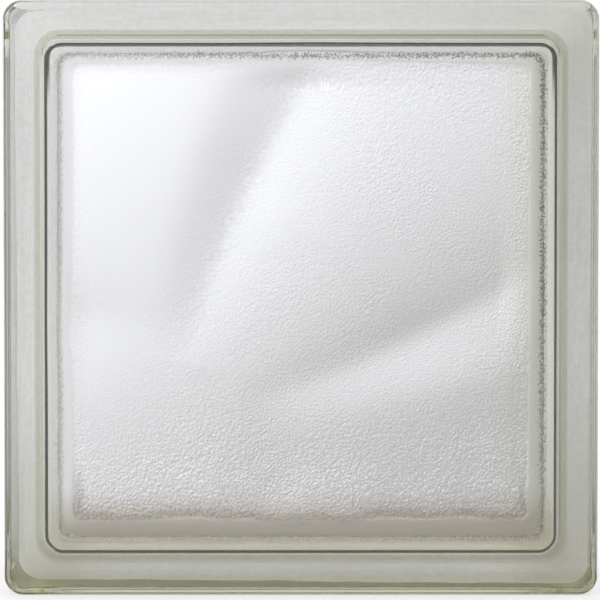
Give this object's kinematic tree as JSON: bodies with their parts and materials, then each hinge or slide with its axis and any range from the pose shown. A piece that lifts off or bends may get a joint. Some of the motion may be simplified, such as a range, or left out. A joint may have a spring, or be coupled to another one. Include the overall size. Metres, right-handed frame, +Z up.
{
  "type": "glass block",
  "caption": "Hollow square glass block of two fused pressed halves, with a lip round each face, a mortar channel round the edge and waves pressed inside the faces.",
  "frame": {"origin": "under the middle of the block, on the plane that it stands on", "axes": "+X across the face, +Y through the block from the front face to the back face, +Z up"},
  "size_m": [0.19, 0.08, 0.19],
  "materials": {
    "glass": "clear pressed glass, bright outside, pebbled and satin on the inside of the panels"
  },
  "bodies": {
    "root": {"front_half": "glass", "back_half": "glass"}
  },
  "joints": []
}
